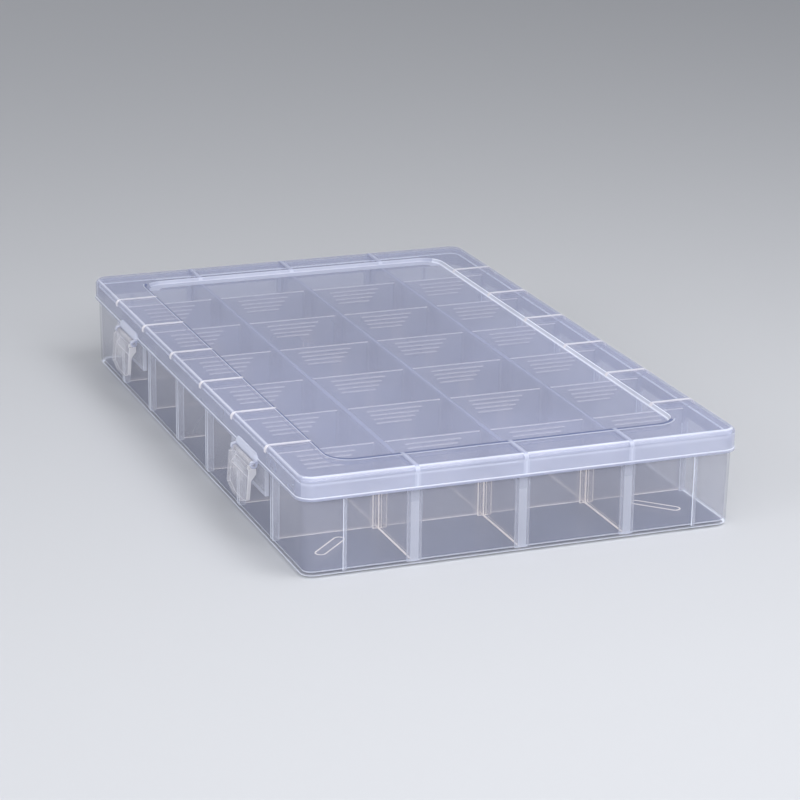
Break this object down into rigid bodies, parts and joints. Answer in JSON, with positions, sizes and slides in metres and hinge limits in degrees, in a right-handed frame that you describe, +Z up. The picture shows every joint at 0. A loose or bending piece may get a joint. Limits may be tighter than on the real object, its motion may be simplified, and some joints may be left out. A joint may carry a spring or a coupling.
{
  "type": "craft storage organizer box",
  "caption": "Flat translucent organizer box with a tray of compartments, lift-out dividers, a hinged lid with a sunk panel, and two swing latches.",
  "frame": {"origin": "on the table, under the middle of the box's overall outline", "axes": "+X along the long side, -Y towards the two latches, +Y towards the hinges, +Z up"},
  "size_m": [0.348, 0.2268, 0.0483],
  "materials": {
    "tray_plastic": "moulded translucent milky plastic, smooth gloss",
    "lid_plastic": "moulded translucent milky plastic, smooth gloss",
    "divider_plastic": "moulded translucent milky plastic, satin gloss",
    "latch_plastic": "moulded translucent milky plastic, slightly whiter and warmer"
  },
  "bodies": {
    "tray": {"tray": "tray_plastic"},
    "lid": {"lid": "lid_plastic"},
    "latch_left": {"latch_left": "latch_plastic"},
    "latch_right": {"latch_right": "latch_plastic"},
    "divider_row1_column1": {"divider_row1_column1": "divider_plastic"},
    "divider_row1_column2": {"divider_row1_column2": "divider_plastic"},
    "divider_row1_column3": {"divider_row1_column3": "divider_plastic"},
    "divider_row1_column4": {"divider_row1_column4": "divider_plastic"},
    "divider_row2_column1": {"divider_row2_column1": "divider_plastic"},
    "divider_row2_column2": {"divider_row2_column2": "divider_plastic"},
    "divider_row2_column3": {"divider_row2_column3": "divider_plastic"},
    "divider_row2_column4": {"divider_row2_column4": "divider_plastic"},
    "divider_row3_column1": {"divider_row3_column1": "divider_plastic"},
    "divider_row3_column2": {"divider_row3_column2": "divider_plastic"},
    "divider_row3_column3": {"divider_row3_column3": "divider_plastic"},
    "divider_row3_column4": {"divider_row3_column4": "divider_plastic"},
    "divider_row4_column1": {"divider_row4_column1": "divider_plastic"},
    "divider_row4_column2": {"divider_row4_column2": "divider_plastic"},
    "divider_row4_column3": {"divider_row4_column3": "divider_plastic"},
    "divider_row4_column4": {"divider_row4_column4": "divider_plastic"},
    "divider_row5_column1": {"divider_row5_column1": "divider_plastic"},
    "divider_row5_column2": {"divider_row5_column2": "divider_plastic"},
    "divider_row5_column3": {"divider_row5_column3": "divider_plastic"},
    "divider_row5_column4": {"divider_row5_column4": "divider_plastic"},
    "divider_row6_column1": {"divider_row6_column1": "divider_plastic"},
    "divider_row6_column2": {"divider_row6_column2": "divider_plastic"},
    "divider_row6_column3": {"divider_row6_column3": "divider_plastic"},
    "divider_row6_column4": {"divider_row6_column4": "divider_plastic"}
  },
  "joints": [
    {"name": "lid_hinge", "type": "hinge", "parent": "tray", "child": "lid", "pos_m": [0, 0.1104, 0.0355], "axis": [-1, 0, 0], "range_deg": [0, 180]},
    {"name": "latch_left_swing", "type": "hinge", "parent": "lid", "child": "latch_left", "pos_m": [-0.0998, -0.1096, 0.0357], "axis": [-1, 0, 0], "range_deg": [0, 115]},
    {"name": "latch_right_swing", "type": "hinge", "parent": "lid", "child": "latch_right", "pos_m": [0.0998, -0.1096, 0.0357], "axis": [-1, 0, 0], "range_deg": [0, 115]},
    {"name": "divider_row1_column1_lift", "type": "slide", "parent": "tray", "child": "divider_row1_column1", "axis": [0, 0, 1], "range_m": [0, 0.0005]},
    {"name": "divider_row1_column2_lift", "type": "slide", "parent": "tray", "child": "divider_row1_column2", "axis": [0, 0, 1], "range_m": [0, 0.0005]},
    {"name": "divider_row1_column3_lift", "type": "slide", "parent": "tray", "child": "divider_row1_column3", "axis": [0, 0, 1], "range_m": [0, 0.0005]},
    {"name": "divider_row1_column4_lift", "type": "slide", "parent": "tray", "child": "divider_row1_column4", "axis": [0, 0, 1], "range_m": [0, 0.0005]},
    {"name": "divider_row2_column1_lift", "type": "slide", "parent": "tray", "child": "divider_row2_column1", "axis": [0, 0, 1], "range_m": [0, 0.0005]},
    {"name": "divider_row2_column2_lift", "type": "slide", "parent": "tray", "child": "divider_row2_column2", "axis": [0, 0, 1], "range_m": [0, 0.0005]},
    {"name": "divider_row2_column3_lift", "type": "slide", "parent": "tray", "child": "divider_row2_column3", "axis": [0, 0, 1], "range_m": [0, 0.0005]},
    {"name": "divider_row2_column4_lift", "type": "slide", "parent": "tray", "child": "divider_row2_column4", "axis": [0, 0, 1], "range_m": [0, 0.0005]},
    {"name": "divider_row3_column1_lift", "type": "slide", "parent": "tray", "child": "divider_row3_column1", "axis": [0, 0, 1], "range_m": [0, 0.0005]},
    {"name": "divider_row3_column2_lift", "type": "slide", "parent": "tray", "child": "divider_row3_column2", "axis": [0, 0, 1], "range_m": [0, 0.0005]},
    {"name": "divider_row3_column3_lift", "type": "slide", "parent": "tray", "child": "divider_row3_column3", "axis": [0, 0, 1], "range_m": [0, 0.0005]},
    {"name": "divider_row3_column4_lift", "type": "slide", "parent": "tray", "child": "divider_row3_column4", "axis": [0, 0, 1], "range_m": [0, 0.0005]},
    {"name": "divider_row4_column1_lift", "type": "slide", "parent": "tray", "child": "divider_row4_column1", "axis": [0, 0, 1], "range_m": [0, 0.0005]},
    {"name": "divider_row4_column2_lift", "type": "slide", "parent": "tray", "child": "divider_row4_column2", "axis": [0, 0, 1], "range_m": [0, 0.0005]},
    {"name": "divider_row4_column3_lift", "type": "slide", "parent": "tray", "child": "divider_row4_column3", "axis": [0, 0, 1], "range_m": [0, 0.0005]},
    {"name": "divider_row4_column4_lift", "type": "slide", "parent": "tray", "child": "divider_row4_column4", "axis": [0, 0, 1], "range_m": [0, 0.0005]},
    {"name": "divider_row5_column1_lift", "type": "slide", "parent": "tray", "child": "divider_row5_column1", "axis": [0, 0, 1], "range_m": [0, 0.0005]},
    {"name": "divider_row5_column2_lift", "type": "slide", "parent": "tray", "child": "divider_row5_column2", "axis": [0, 0, 1], "range_m": [0, 0.0005]},
    {"name": "divider_row5_column3_lift", "type": "slide", "parent": "tray", "child": "divider_row5_column3", "axis": [0, 0, 1], "range_m": [0, 0.0005]},
    {"name": "divider_row5_column4_lift", "type": "slide", "parent": "tray", "child": "divider_row5_column4", "axis": [0, 0, 1], "range_m": [0, 0.0005]},
    {"name": "divider_row6_column1_lift", "type": "slide", "parent": "tray", "child": "divider_row6_column1", "axis": [0, 0, 1], "range_m": [0, 0.0005]},
    {"name": "divider_row6_column2_lift", "type": "slide", "parent": "tray", "child": "divider_row6_column2", "axis": [0, 0, 1], "range_m": [0, 0.0005]},
    {"name": "divider_row6_column3_lift", "type": "slide", "parent": "tray", "child": "divider_row6_column3", "axis": [0, 0, 1], "range_m": [0, 0.0005]},
    {"name": "divider_row6_column4_lift", "type": "slide", "parent": "tray", "child": "divider_row6_column4", "axis": [0, 0, 1], "range_m": [0, 0.0005]}
  ]
}
